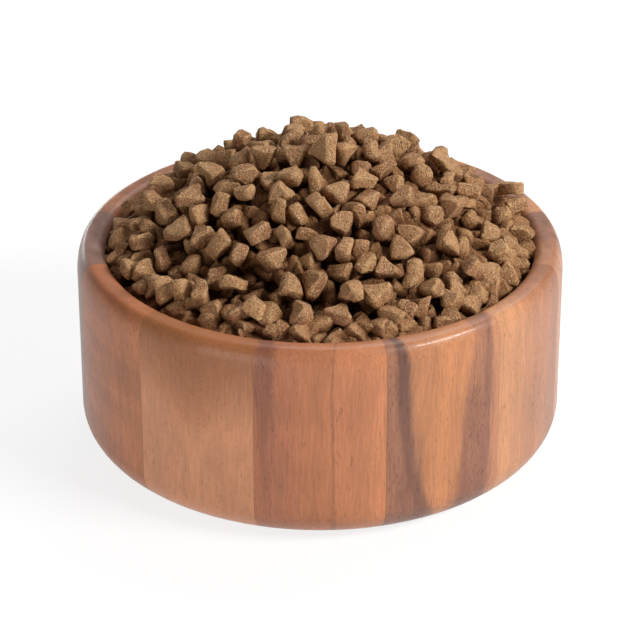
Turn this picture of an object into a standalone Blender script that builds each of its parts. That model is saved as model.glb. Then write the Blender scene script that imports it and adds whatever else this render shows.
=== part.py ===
"""Round bowl coopered from hardwood staves and heaped with dry pet food.

Metres, Z up. The bowl stands on the plane Z = 0, its axis is Z and its front is towards -Y.
Each stave runs from the rim to the underside and turns inwards at the bottom, where the
staves hold a round base panel. The food is one fused heap with loose kibbles lying on it.
"""
import math

import bmesh
import bpy
import numpy as np
from mathutils import Matrix, Vector
from mathutils.bvhtree import BVHTree

# Bowl: driving sizes
BOWL_RADIUS = 0.1015
BOWL_HEIGHT = 0.089
WALL = 0.012
FLOOR = 0.012
BASE_PANEL_RADIUS = 0.068
STAVES = 12
GAP = 0.0003

# Bowl: turned edges, each an elliptical arc of a reach inwards and a reach upwards
RIM_OUTER_IN = 0.0045
RIM_OUTER_DOWN = 0.011
RIM_INNER_ROUND = 0.004
FOOT_IN = 0.0215
FOOT_UP = 0.017
INSIDE_FILLET = 0.020
PANEL_CHAMFER = 0.0006

# Food: the heap's dome, and what the kibbles are
HEAP_EDGE_BELOW_RIM = 0.0055
HEAP_RISE = 0.0455
HEAP_ROUNDNESS = 1.65
HEAP_CORE_DEPTH = 0.0045
HEAP_STANDS_OUT = 0.0066
KIBBLE_WIDTH = 0.0118
KIBBLE_THICKNESS = 0.0063
KIBBLE_SPREAD = 0.16
KIBBLE_CORNER = 0.20
KIBBLE_DRAFT = 0.90
KIBBLE_SINK = 0.0005
DROP = 0.022
COARSE_STEP = 0.0004
FINE_STEP = 0.00005
LOOSE_KIBBLES = 46
SEED = 113

# Food: how the pouring rule looks at the heap, on a grid of heights seen from above
GRID = 0.0006
STRAY_CELLS = 3
REFUSED_CELLS = 4
TRIALS = 10
PROUD = 0.0085
HOLLOW = 0.0064
ON_CORE = -1
ON_RIM = -2

# Facets
STEPS_PER_STAVE = 4
ROUND_STEPS = STAVES * STEPS_PER_STAVE

INNER_RADIUS = BOWL_RADIUS - WALL
STAVE_ANGLE = 2.0 * math.pi / STAVES
HEAP_EDGE = BOWL_HEIGHT - HEAP_EDGE_BELOW_RIM

OBJECT_NAME = "wooden_bowl_of_dry_pet_food"
STAVE_COLOURS = (
    (0.56, 0.23, 0.12), (0.62, 0.28, 0.13), (0.70, 0.39, 0.21), (0.30, 0.14, 0.09),
    (0.34, 0.15, 0.10), (0.58, 0.24, 0.11), (0.50, 0.21, 0.10), (0.60, 0.26, 0.12),
    (0.33, 0.17, 0.12), (0.27, 0.14, 0.11), (0.38, 0.19, 0.12), (0.51, 0.27, 0.15),
)
PANEL_COLOUR = (0.52, 0.25, 0.13)
KIBBLE_COLOUR = (0.34, 0.19, 0.10)


def clear_scene():
    for item in list(bpy.data.objects):
        bpy.data.objects.remove(item)


def make_material(name, colour, roughness):
    material = bpy.data.materials.new(name)
    material.use_nodes = True
    shader = material.node_tree.nodes["Principled BSDF"]
    shader.inputs["Base Color"].default_value = (*colour, 1.0)
    shader.inputs["Roughness"].default_value = roughness
    shader.inputs["Metallic"].default_value = 0.0
    return material


def add_object(name, mesh, collection, material=None):
    item = bpy.data.objects.new(name, mesh)
    collection.objects.link(item)
    if material:
        mesh.materials.append(material)
    return item


def mesh_from(bm, name):
    mesh = bpy.data.meshes.new(name)
    bm.to_mesh(mesh)
    bm.free()
    return mesh


def smooth(mesh):
    mesh.shade_smooth()
    mesh.set_sharp_from_angle(angle=math.radians(35))


def arc(centre, reach_in, reach_up, start, end, steps):
    """Points (radius, height) of an elliptical arc between two angles in degrees."""
    angles = np.radians(np.linspace(start, end, steps + 1))
    return [(centre[0] + reach_in * math.cos(a), centre[1] + reach_up * math.sin(a)) for a in angles]


def inside_profile(clearance, steps):
    """The bowl's hollow from the wall down to the floor, kept off the wood by a clearance."""
    fillet = INSIDE_FILLET - clearance
    centre = (INNER_RADIUS - INSIDE_FILLET, FLOOR + INSIDE_FILLET)
    return arc(centre, fillet, fillet, 0, -90, steps)


def stave_profile():
    """A stave's section, from the rim down its outer side and back up the hollow."""
    rim_centre = (BOWL_RADIUS - RIM_OUTER_IN, BOWL_HEIGHT - RIM_OUTER_DOWN)
    foot_centre = (BOWL_RADIUS - FOOT_IN, FOOT_UP)
    lip_centre = (INNER_RADIUS + RIM_INNER_ROUND, BOWL_HEIGHT - RIM_INNER_ROUND)
    points = arc(rim_centre, RIM_OUTER_IN, RIM_OUTER_DOWN, 90, 0, 4)
    points += arc(foot_centre, FOOT_IN, FOOT_UP, 0, -90, 3)
    points += [(BASE_PANEL_RADIUS, 0.0), (BASE_PANEL_RADIUS, FLOOR)]
    points += reversed(inside_profile(0.0, 3))
    points += arc(lip_centre, RIM_INNER_ROUND, RIM_INNER_ROUND, 180, 90, 2)
    return points


def stave_mesh(name):
    """One stave, turned through its angle about -Y, its two glued edges planed by half a gap."""
    bm = bmesh.new()
    half = STAVE_ANGLE / 2.0
    first = Matrix.Rotation(-math.pi / 2.0 - half, 3, "Z")
    corners = [bm.verts.new(first @ Vector((radius, 0.0, height))) for radius, height in stave_profile()]
    section = bm.faces.new(corners)
    start_edge = set(corners)
    swept = bmesh.ops.spin(
        bm, geom=[section], cent=(0, 0, 0), axis=(0, 0, 1), angle=STAVE_ANGLE, steps=STEPS_PER_STAVE)
    end_edge = {v for v in swept["geom_last"] if isinstance(v, bmesh.types.BMVert)}
    for edge, side in ((start_edge, -1.0), (end_edge, 1.0)):
        plane_normal = Vector((math.cos(half), -side * math.sin(half), 0.0)) * side
        for vertex in edge:
            vertex.co -= plane_normal * GAP / 2.0
    bmesh.ops.recalc_face_normals(bm, faces=bm.faces)
    return mesh_from(bm, name)


def build_staves(collection):
    for index in range(STAVES):
        name = f"stave_{index + 1:02d}"
        colour = STAVE_COLOURS[index % len(STAVE_COLOURS)]
        mesh = stave_mesh(name)
        smooth(mesh)
        stave = add_object(name, mesh, collection, make_material(name, colour, 0.42))
        stave.rotation_euler.z = index * STAVE_ANGLE


def build_base_panel(collection):
    """The round panel inside the staves' feet, flush below and level with their floor."""
    bm = bmesh.new()
    radius = BASE_PANEL_RADIUS - GAP
    bmesh.ops.create_cone(
        bm, cap_ends=True, segments=ROUND_STEPS, radius1=radius, radius2=radius, depth=FLOOR,
        matrix=Matrix.Translation((0, 0, FLOOR / 2.0)))
    lower = [e for e in bm.edges if all(v.co.z < FLOOR / 2.0 for v in e.verts)]
    bmesh.ops.bevel(bm, geom=lower, offset=PANEL_CHAMFER, segments=1, affect="EDGES")
    mesh = mesh_from(bm, "base_panel")
    smooth(mesh)
    add_object("base_panel", mesh, collection, make_material("base_panel", PANEL_COLOUR, 0.5))


def dome(radius):
    """Height that the heap's surface is poured to, at a distance from the bowl's axis."""
    share = np.minimum(radius / INNER_RADIUS, 1.0)
    return HEAP_EDGE + HEAP_RISE * (1.0 - share ** HEAP_ROUNDNESS)


def kibble_form():
    """A unit kibble: a short three-cornered extrusion with its corners taken off."""
    bm = bmesh.new()
    bmesh.ops.create_cone(
        bm, cap_ends=True, segments=3, radius1=1.0, radius2=KIBBLE_DRAFT, depth=1.0)
    uprights = [e for e in bm.edges if e.verts[0].co.z * e.verts[1].co.z < 0.0]
    bmesh.ops.bevel(bm, geom=uprights, offset=math.sqrt(3.0) * KIBBLE_CORNER, segments=1, affect="EDGES")
    wide = max(v.co.x for v in bm.verts) - min(v.co.x for v in bm.verts)
    bmesh.ops.scale(bm, vec=(1.0 / wide, 1.0 / wide, 1.0), verts=bm.verts)
    bm.normal_update()
    planes = np.array([(*f.normal, f.normal.dot(f.verts[0].co)) for f in bm.faces])
    return mesh_from(bm, "kibble_form"), planes


def random_turns(rng, count):
    """Evenly spread random rotations as 3 by 3 matrices."""
    quaternions = rng.normal(size=(count, 4))
    quaternions /= np.linalg.norm(quaternions, axis=1)[:, None]
    w, x, y, z = quaternions.T
    rows = (
        1 - 2 * (y * y + z * z), 2 * (x * y - z * w), 2 * (x * z + y * w),
        2 * (x * y + z * w), 1 - 2 * (x * x + z * z), 2 * (y * z - x * w),
        2 * (x * z - y * w), 2 * (y * z + x * w), 1 - 2 * (x * x + y * y))
    return np.stack(rows, axis=1).reshape(count, 3, 3)


def random_shapes(rng, count):
    """Turned and stretched kibbles, as matrices that carry the unit kibble to each of them."""
    spread = rng.uniform(1.0 - KIBBLE_SPREAD, 1.0 + KIBBLE_SPREAD, size=(count, 3))
    sizes = spread * (KIBBLE_WIDTH, KIBBLE_WIDTH, KIBBLE_THICKNESS)
    skew = rng.uniform(0.0, 2.0 * math.pi, size=count)
    twist = np.zeros((count, 3, 3))
    twist[:, 0, 0] = twist[:, 1, 1] = np.cos(skew)
    twist[:, 1, 0] = np.sin(skew)
    twist[:, 0, 1] = -twist[:, 1, 0]
    twist[:, 2, 2] = 1.0
    return random_turns(rng, count) @ (sizes[:, :, None] * twist)


def stands_out(form, place):
    """Whether a kibble shows above the heap's core, and not only a tip of it."""
    corners = [place @ v.co for v in form.vertices]
    return any(c.z > float(dome(c.xy.length)) - HEAP_CORE_DEPTH + HEAP_STANDS_OUT for c in corners)


def square(row, column, reach):
    """The cells of the grid up to a reach away from one cell."""
    return slice(row - reach, row + reach + 1), slice(column - reach, column + reach + 1)


def settle(ground, row, column, shapes, planes):
    """Lower every trial kibble onto the ground at one place.

    Returns each one's height of rest, the space left under it and its upper surface.
    """
    reach = int(KIBBLE_WIDTH * (1.0 + KIBBLE_SPREAD) * 0.75 / GRID)
    steps = np.arange(-reach, reach + 1)
    east, north = np.meshgrid(steps * GRID, steps * GRID, indexing="ij")
    normals = planes[:, :3] @ np.linalg.inv(shapes)
    slopes = normals[:, :, 2]
    slopes = np.where(np.abs(slopes) < 1.0, np.where(slopes < 0.0, -1.0, 1.0), slopes)
    heights = (planes[None, :, 3, None, None] - normals[:, :, 0, None, None] * east
               - normals[:, :, 1, None, None] * north) / slopes[:, :, None, None]
    faces_up = (slopes > 0.0)[:, :, None, None]
    upper = np.where(faces_up, heights, np.inf).min(axis=1)
    lower = np.where(faces_up, -np.inf, heights).max(axis=1)
    covered = upper > lower
    below = ground[square(row, column, reach)]
    rest = np.where(covered, below - lower, -np.inf).max(axis=(1, 2))
    space = np.where(covered, rest[:, None, None] + lower - below, np.inf)
    upper = np.where(covered, upper + rest[:, None, None], -np.inf)
    return rest, space, upper


def pour():
    """Fill the bowl with kibbles one by one, each about where the heap is lowest below its dome.

    A kibble takes the turn, out of a few random ones, that leaves least space under it without
    standing too proud or lying on the rim. Those that show above the heap's core are kept, with
    those that carry them. Those that no other kibble lies over are free.
    """
    form, planes = kibble_form()
    rng = np.random.default_rng(SEED)
    cells = int((BOWL_RADIUS + KIBBLE_WIDTH) / GRID) + STRAY_CELLS
    axis = np.arange(-cells, cells + 1) * GRID
    radius = np.hypot(*np.meshgrid(axis, axis, indexing="ij"))
    margin = GAP + KIBBLE_SINK + GRID
    lip = np.clip(INNER_RADIUS + RIM_INNER_ROUND - (radius + margin), 0.0, RIM_INNER_ROUND)
    rim = BOWL_HEIGHT + margin - RIM_INNER_ROUND + np.sqrt(RIM_INNER_ROUND ** 2 - lip ** 2)
    goal = dome(radius)
    ground = np.where(radius < INNER_RADIUS - margin, goal - 2.0 * KIBBLE_THICKNESS, rim)
    inside = radius < INNER_RADIUS - KIBBLE_THICKNESS / 2.0
    refused = np.where(inside, 0.0, np.inf)
    chance = rng.uniform(0.0, KIBBLE_THICKNESS / 2.0, ground.shape)
    top_kibble = np.where(ground == rim, ON_RIM, ON_CORE)
    covered = set()
    placed = []
    carriers = []
    while True:
        hollow = goal - ground - refused
        if hollow.max() < HOLLOW:
            break
        wanted = np.where(hollow < HOLLOW, -1.0, hollow + chance)
        row, column = np.unravel_index(wanted.argmax(), wanted.shape)
        row += rng.integers(-STRAY_CELLS, STRAY_CELLS + 1)
        column += rng.integers(-STRAY_CELLS, STRAY_CELLS + 1)
        shapes = random_shapes(rng, TRIALS)
        rest, space, upper = settle(ground, row, column, shapes, planes)
        near = square(row, column, upper.shape[1] // 2)
        touched = space.reshape(TRIALS, -1).argmin(axis=1)
        carrier = top_kibble[near].ravel()[touched]
        proud = upper.max(axis=(1, 2)) - goal[row, column]
        wasted = np.where(np.isfinite(space), space, 0.0).sum(axis=(1, 2)) / np.isfinite(space).sum(axis=(1, 2))
        unfit = (carrier == ON_RIM) | (proud > PROUD)
        best = int(np.where(unfit, np.inf, wasted + np.maximum(0.0, proud - PROUD / 3.0)).argmin())
        if unfit[best]:
            refused[square(row, column, REFUSED_CELLS)] += HOLLOW / 3.0
            continue
        footprint = upper[best] > 0.0
        covered |= set(top_kibble[near][footprint])
        top_kibble[near][footprint] = len(placed)
        ground[near] = np.maximum(ground[near], upper[best] - KIBBLE_SINK)
        centre = Matrix.Translation((axis[row], axis[column], rest[best] - KIBBLE_SINK))
        placed.append(centre @ Matrix(shapes[best].tolist()).to_4x4())
        carriers.append(int(carrier[best]))
    kept = {index for index, place in enumerate(placed) if stands_out(form, place)}
    for index in reversed(range(len(placed))):
        if index in kept and carriers[index] >= 0:
            kept.add(carriers[index])
    kept = sorted(kept)
    free = [number for number, index in enumerate(kept) if index not in covered]
    return form, [placed[index] for index in kept], free


def add_kibble(name, form, place, collection):
    """A kibble with its stretch and turn in its mesh, placed by its location."""
    mesh = form.copy()
    mesh.name = name
    mesh.transform(place.to_3x3().to_4x4())
    kibble = add_object(name, mesh, collection)
    kibble.location = place.translation
    return kibble


def evaluated_mesh(item):
    bpy.context.view_layer.update()
    return bpy.data.meshes.new_from_object(item.evaluated_get(bpy.context.evaluated_depsgraph_get()))


def heap_core(collection):
    """The food that the outer kibbles hide: a turned solid that fits the bowl's hollow."""
    outer = INNER_RADIUS - GAP
    radii = np.linspace(0.0, outer, 5)
    points = [(r, float(dome(r)) - HEAP_CORE_DEPTH) for r in radii]
    points += inside_profile(GAP, 3)
    points.append((0.0, FLOOR + GAP))
    bm = bmesh.new()
    corners = [bm.verts.new((radius, 0.0, height)) for radius, height in points]
    for upper, lower in zip(corners, corners[1:]):
        bm.edges.new((upper, lower))
    core = add_object("kibble_heap", mesh_from(bm, "kibble_heap"), collection)
    turn = core.modifiers.new("turn", "SCREW")
    turn.steps = turn.render_steps = ROUND_STEPS // 2
    turn.use_merge_vertices = True
    turn.merge_threshold = 0.00001
    return core


def polygons_of(placed_meshes):
    """The corners in world space, and the polygons, of pairs of a mesh and its place."""
    corners = []
    faces = []
    for mesh, place in placed_meshes:
        faces += [[len(corners) + corner for corner in face.vertices] for face in mesh.polygons]
        corners += [place @ v.co for v in mesh.vertices]
    return corners, faces


def lower_onto(around, place, body):
    """Lower a body from above a place, in coarse and then fine steps, until it is about to meet
    what is around.
    """
    lowered = Matrix.Translation((0.0, 0.0, DROP)) @ place
    for length in (COARSE_STEP, FINE_STEP):
        step = Matrix.Translation((0.0, 0.0, -length))
        for _ in range(int(2.0 * DROP / COARSE_STEP)):
            if around.overlap(BVHTree.FromPolygons(*polygons_of([(body, step @ lowered)]))):
                break
            lowered = step @ lowered
    return lowered


def loosen(form, places, free, fixed):
    """Take free kibbles off and pour them again one by one, with a gap clear round each."""
    rng = np.random.default_rng(SEED)
    grown = form.copy()
    grow_wide = 1.0 + 2.0 * GAP / (0.6 * KIBBLE_WIDTH)
    grow_thick = 1.0 + 2.0 * GAP / KIBBLE_THICKNESS
    grown.transform(Matrix.Diagonal((grow_wide, grow_wide, grow_thick, 1.0)))
    loose = free[-LOOSE_KIBBLES:]
    for poured, index in enumerate(loose):
        centre = places[index].translation
        to_come = loose[poured:]
        near = [(form, place) for other, place in enumerate(places)
                if other not in to_come and (place.translation - centre).length < 2.0 * KIBBLE_WIDTH]
        around = BVHTree.FromPolygons(*polygons_of(fixed + near))
        tried = []
        for shape in random_shapes(rng, 2 * TRIALS):
            nudge = Vector((*rng.uniform(-STRAY_CELLS * GRID, STRAY_CELLS * GRID, 2), 0.0))
            start = Matrix.Translation(centre + nudge) @ Matrix(shape.tolist()).to_4x4()
            place = lower_onto(around, start, grown)
            tried.append((max((place @ v.co).z for v in form.vertices), place))
        places[index] = min(tried, key=lambda trial: trial[0])[1]
    return loose


def drop_small_shells(mesh):
    """Keep the heap's outer shell: the small hollows that the kibbles close off are filled."""
    bm = bmesh.new()
    bm.from_mesh(mesh)
    left = set(bm.faces)
    shells = []
    while left:
        shell = {left.pop()}
        edge_of_shell = list(shell)
        while edge_of_shell:
            face = edge_of_shell.pop()
            near = {f for e in face.edges for f in e.link_faces} & left
            left -= near
            shell |= near
            edge_of_shell.extend(near)
        shells.append(shell)
    shells.sort(key=len)
    for shell in shells[:-1]:
        bmesh.ops.delete(bm, geom=list(shell), context="FACES")
    bm.to_mesh(mesh)
    bm.free()


def build_food(collection, cutters):
    """The fused heap and the loose kibbles on it."""
    form, places, free = pour()
    core = heap_core(collection)
    bowl_and_core = [(evaluated_mesh(item), item.matrix_world) for item in collection.objects]
    loose = loosen(form, places, free, bowl_and_core)
    for index, place in enumerate(places):
        if index in loose:
            name = f"kibble_{loose.index(index) + 1:02d}"
            kibble = add_kibble(name, form, place, collection)
            kibble.data.materials.append(make_material(name, KIBBLE_COLOUR, 0.85))
        else:
            kibble = add_kibble("fused_kibble", form, place, cutters)
            kibble.hide_render = True
            kibble.display_type = "WIRE"
    join = core.modifiers.new("join", "BOOLEAN")
    join.operation = "UNION"
    join.operand_type = "COLLECTION"
    join.collection = cutters
    mesh = evaluated_mesh(core)
    core.modifiers.clear()
    drop_small_shells(mesh)
    core.data = mesh
    smooth(mesh)
    mesh.materials.clear()
    mesh.materials.append(make_material("kibble_heap", KIBBLE_COLOUR, 0.85))


def main():
    clear_scene()
    parts = bpy.data.collections.new(OBJECT_NAME)
    cutters = bpy.data.collections.new("cutters")
    for collection in (parts, cutters):
        bpy.context.scene.collection.children.link(collection)
    build_staves(parts)
    build_base_panel(parts)
    build_food(parts, cutters)


main()
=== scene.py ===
# %% [markdown]
# # A wooden bowl heaped with dry pet food
#
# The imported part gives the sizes: a round bowl glued up from twelve upright staves, a base panel
# inside their feet, and a heap of kibbles. This lesson gives that part its looks. It models the
# staves with soft turned edges, rounds each kibble, and builds the wood and the food as
# procedural materials.

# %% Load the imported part
import math

import bmesh
import bpy
import numpy as np
from mathutils import Matrix, Vector


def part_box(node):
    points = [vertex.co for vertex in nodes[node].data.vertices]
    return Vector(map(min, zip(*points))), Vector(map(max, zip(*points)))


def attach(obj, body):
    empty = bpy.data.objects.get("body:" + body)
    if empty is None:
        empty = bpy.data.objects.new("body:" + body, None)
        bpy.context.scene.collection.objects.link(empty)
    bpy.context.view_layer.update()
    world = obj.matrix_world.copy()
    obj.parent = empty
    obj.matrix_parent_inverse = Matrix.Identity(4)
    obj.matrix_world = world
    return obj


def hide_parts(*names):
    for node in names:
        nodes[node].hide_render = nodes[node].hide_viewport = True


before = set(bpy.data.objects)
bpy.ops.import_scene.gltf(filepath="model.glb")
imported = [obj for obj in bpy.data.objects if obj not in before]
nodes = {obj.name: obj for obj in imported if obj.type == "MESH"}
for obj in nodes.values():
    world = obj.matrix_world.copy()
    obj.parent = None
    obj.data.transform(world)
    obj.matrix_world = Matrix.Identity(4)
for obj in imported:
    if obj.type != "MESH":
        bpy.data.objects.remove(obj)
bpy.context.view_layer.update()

# %% [markdown]
# ## Sizes
#
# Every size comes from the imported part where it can. The rounds of the rim and the foot are the
# same as in the part's source: the outer rim is a tall, narrow round, and the foot is a wide one.

# %% Sizes of the bowl
stave_low, stave_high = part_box("stave_01")
panel_low, panel_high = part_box("base_panel")
heap_low, heap_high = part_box("kibble_heap")

STAVES = sum(name.startswith("stave_") for name in nodes)
STAVE_ANGLE = 2.0 * math.pi / STAVES
BOWL_RADIUS = -stave_low.y
BOWL_HEIGHT = stave_high.z
FLOOR = panel_high.z
WALL = 0.012
INNER_RADIUS = BOWL_RADIUS - WALL
BASE_PANEL_RADIUS = 0.068
RIM_OUTER = (0.0045, 0.011)
RIM_INNER = (0.004, 0.004)
FOOT = (0.0215, 0.017)
INSIDE_FILLET = (0.020, 0.020)
print("bowl", round(2000 * BOWL_RADIUS), "mm across and", round(1000 * BOWL_HEIGHT), "mm high")
print("base panel", round(1000 * (panel_high.z - panel_low.z)), "mm thick")
print("heap from", round(1000 * heap_low.z), "to", round(1000 * heap_high.z), "mm above the ground")

# %% [markdown]
# ## Camera
#
# The camera comes first, so that every later step can be looked at from the photographed side.
# It stands twelve bowl radii away and looks down at 28 degrees, which is what the outline of the
# rim and the foot gave. The small extra tilt lifts the bowl to its place in the picture.

# %% Add the camera
CAMERA_HEIGHT_ANGLE = math.radians(28.22)
CAMERA_DISTANCE = 12.0 * BOWL_RADIUS
NEAREST_SEEN = 0.01
CAMERA_EXTRA_TILT = math.radians(0.23)
PICTURE_SIDE = 640
FOCAL_PIXELS = 2867
SENSOR = 36.0

target = Vector((0.0, 0.0, BOWL_HEIGHT / 2.0))
away = Vector((0.0, -math.cos(CAMERA_HEIGHT_ANGLE), math.sin(CAMERA_HEIGHT_ANGLE)))
camera_data = bpy.data.cameras.new("camera")
camera_data.sensor_width = SENSOR
camera_data.lens = FOCAL_PIXELS / PICTURE_SIDE * SENSOR
camera_data.clip_start = NEAREST_SEEN
camera = bpy.data.objects.new("camera", camera_data)
bpy.context.scene.collection.objects.link(camera)
camera.location = target + CAMERA_DISTANCE * away
camera.rotation_euler = (-away).to_track_quat("-Z", "Y").to_euler()
camera.rotation_euler.x += CAMERA_EXTRA_TILT
bpy.context.scene.camera = camera
print("camera at", [round(v, 3) for v in camera.location], "lens", round(camera_data.lens, 1), "mm")

# %% [markdown]
# ## Helpers for modelling by hand
#
# The operators act on what is selected, and loading the part leaves its nodes selected. So each
# step first clears the selection, and then picks vertices, edges or faces by their place or normal.
# Two places closer than SAME are one, a face with a normal this near to upright is LEVEL, and two
# faces that meet at less than FLAT are one flat face.

# %% Selection helpers
SAME = 1e-5
LEVEL = 0.9
FLAT = math.radians(1.0)


def deselect_all():
    bpy.ops.object.select_all(action="DESELECT")


def pick(item):
    """Select one piece alone."""
    deselect_all()
    item.select_set(True)
    bpy.context.view_layer.objects.active = item


def start_editing(item):
    pick(item)
    bpy.ops.object.mode_set(mode="EDIT")
    bpy.ops.mesh.select_mode(type="VERT")


def unselected(item):
    """The mesh of a piece in edit mode, with nothing of it selected."""
    bm = bmesh.from_edit_mesh(item.data)
    for part in (bm.faces, bm.edges, bm.verts):
        for element in part:
            element.select = False
    return bm


def select_vertices(item, test):
    """In edit mode, select the vertices whose place passes the test, and what lies between them."""
    bm = unselected(item)
    for vertex in bm.verts:
        vertex.select = test(vertex.co)
    bm.select_flush(True)
    bmesh.update_edit_mesh(item.data)


def select_edges(item, test):
    """In edit mode, select the edges whose two ends pass the test."""
    bpy.ops.mesh.select_mode(type="EDGE")
    bm = unselected(item)
    for edge in bm.edges:
        if test(edge.verts[0].co, edge.verts[1].co):
            edge.select = True
    bmesh.update_edit_mesh(item.data)


def select_faces(item, test):
    """In edit mode, select the faces whose normal passes the test."""
    bpy.ops.mesh.select_mode(type="FACE")
    bm = unselected(item)
    bm.normal_update()
    for face in bm.faces:
        if test(face.normal):
            face.select = True
    bmesh.update_edit_mesh(item.data)


def stop_editing():
    bpy.ops.object.mode_set(mode="OBJECT")


def apply_place(item):
    pick(item)
    bpy.ops.object.transform_apply(location=True, rotation=True, scale=True)


def open_edges(item):
    """How many edges of a mesh don't lie between exactly two faces."""
    bm = bmesh.new()
    bm.from_mesh(item.data)
    count = sum(not edge.is_manifold for edge in bm.edges)
    bm.free()
    return count

# %% [markdown]
# ## Staves
#
# The real bowl is glued up from staves like a barrel and then turned on a lathe, so all the staves
# share one section. A lathe could be copied by turning that section through a full circle and
# cutting it into twelve. Turning it through one twelfth and copying the stave gives the same
# shape, and each stave keeps its own mesh and its own wood.
#
# The section starts as a flat plane the size of the wall. Its lower inner edge is drawn in to make
# the stave's foot, and its corners are rounded. Two of the rounds are wider than they are high, or
# the other way round. They are cut on a section that is squeezed until the round is a plain one.

# %% Model the section of the wall
RIM_STEPS = 8
FOOT_STEPS = 10
LIP_STEPS = 6
FILLET_STEPS = 6

deselect_all()
bpy.ops.mesh.primitive_plane_add(
    size=1.0, location=(BOWL_RADIUS - WALL / 2.0, 0.0, BOWL_HEIGHT / 2.0), rotation=(math.pi / 2.0, 0.0, 0.0))
stave = bpy.context.object
stave.name = stave.data.name = "bowl_stave_01"
stave.scale = (WALL, BOWL_HEIGHT, 1.0)
apply_place(stave)


def at(x, z):
    """A test for a vertex at this distance from the axis and this height."""
    return lambda place: abs(place.x - x) < SAME and abs(place.z - z) < SAME


def round_corner(item, x, z, reach, steps):
    """Round one corner of the section, by a reach inwards and a reach upwards."""
    squeeze = reach[0] / reach[1]
    bpy.ops.mesh.select_all(action="SELECT")
    bpy.ops.transform.resize(value=(1.0, 1.0, squeeze), center_override=(0.0, 0.0, 0.0))
    select_vertices(item, at(x, z * squeeze))
    bpy.ops.mesh.bevel(offset=reach[0], segments=steps, affect="VERTICES")
    bpy.ops.mesh.select_all(action="SELECT")
    bpy.ops.transform.resize(value=(1.0, 1.0, 1.0 / squeeze), center_override=(0.0, 0.0, 0.0))


start_editing(stave)
bpy.ops.mesh.select_all(action="SELECT")
bpy.ops.mesh.bisect(plane_co=(0.0, 0.0, FLOOR), plane_no=(0.0, 0.0, 1.0))
select_vertices(stave, lambda place: abs(place.x - INNER_RADIUS) < SAME and place.z < FLOOR + SAME)
bpy.ops.mesh.extrude_region_move(
    TRANSFORM_OT_translate={"value": (BASE_PANEL_RADIUS - INNER_RADIUS, 0.0, 0.0)})
bpy.ops.mesh.select_all(action="SELECT")
bpy.ops.mesh.dissolve_limited(angle_limit=FLAT)
round_corner(stave, BOWL_RADIUS, BOWL_HEIGHT, RIM_OUTER, RIM_STEPS)
round_corner(stave, BOWL_RADIUS, 0.0, FOOT, FOOT_STEPS)
round_corner(stave, INNER_RADIUS, BOWL_HEIGHT, RIM_INNER, LIP_STEPS)
round_corner(stave, INNER_RADIUS, FLOOR, INSIDE_FILLET, FILLET_STEPS)
stop_editing()
print("section:", len(stave.data.vertices), "points,", len(stave.data.polygons), "face")

# %% [markdown]
# Turning the section about the bowl's axis makes the solid stave. It stops a hair short of the full
# twelfth, which leaves the fine glue line of a real joint.

# %% Turn the section into a stave, and copy it round the bowl
TURN_STEPS = 8
GLUE_LINE = 0.00008
DOUBLES = 1e-6
STAVE_SMOOTH_BELOW = math.radians(30.0)

first_edge = -math.pi / 2.0 - STAVE_ANGLE / 2.0 + GLUE_LINE / 2.0 / BOWL_RADIUS
stave.rotation_euler.z = first_edge
apply_place(stave)
start_editing(stave)
bpy.ops.mesh.select_all(action="SELECT")
bpy.ops.mesh.spin(
    steps=TURN_STEPS, angle=GLUE_LINE / BOWL_RADIUS - STAVE_ANGLE, center=(0.0, 0.0, 0.0),
    axis=(0.0, 0.0, 1.0))
bpy.ops.mesh.select_all(action="SELECT")
bpy.ops.mesh.remove_doubles(threshold=DOUBLES)
bpy.ops.mesh.normals_make_consistent(inside=False)
stop_editing()
print("stave:", len(stave.data.polygons), "faces, open edges:", open_edges(stave))

staves = [stave]
for index in range(1, STAVES):
    copy = stave.copy()
    copy.data = stave.data.copy()
    copy.name = copy.data.name = f"bowl_stave_{index + 1:02d}"
    bpy.context.scene.collection.objects.link(copy)
    copy.rotation_euler.z = index * STAVE_ANGLE
    apply_place(copy)
    staves.append(copy)
for item in staves:
    pick(item)
    bpy.ops.object.shade_smooth_by_angle(angle=STAVE_SMOOTH_BELOW)
print("staves:", len(staves))

# %% [markdown]
# ## Where the kibbles lie
#
# The part's heap was poured by a rule: each kibble goes where the heap is lowest below its dome, in
# the turn that leaves the least space under it. The same rule with the same seed gives the same
# places here. The heap could also be poured by a physics simulation, but then it would not match
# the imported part.
#
# HOLLOW is how deep a hollow must be to take one more kibble, and PROUD how far a kibble may stand
# out of the dome. Where no trial fits, some cells around are refused for a while. A kibble counts as
# one that shows when a corner of it stands out of the dome by more than SHOWS_ABOVE.

# %% Sizes of the heap and its kibbles
HEAP_EDGE = BOWL_HEIGHT - 0.0055
HEAP_RISE = 0.0455
HEAP_ROUNDNESS = 1.65
GAP = 0.0003
KIBBLE_WIDTH = 0.0118
KIBBLE_THICKNESS = 0.0063
KIBBLE_SPREAD = 0.16
KIBBLE_CORNER = 0.20
KIBBLE_DRAFT = 0.90
KIBBLE_SINK = 0.0005
SEED = 113
GRID = 0.0006
STRAY_CELLS = 3
REFUSED_CELLS = 4
TRIALS = 10
TRIAL_REACH = 0.75
PROUD = 0.0085
HOLLOW = 0.0064
ON_CORE = -1
ON_RIM = -2
SHOWS_ABOVE = 0.0021


def dome(radius):
    """Height that the heap's surface is poured to, at a distance from the bowl's axis."""
    share = np.minimum(radius / INNER_RADIUS, 1.0)
    return HEAP_EDGE + HEAP_RISE * (1.0 - share ** HEAP_ROUNDNESS)


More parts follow.
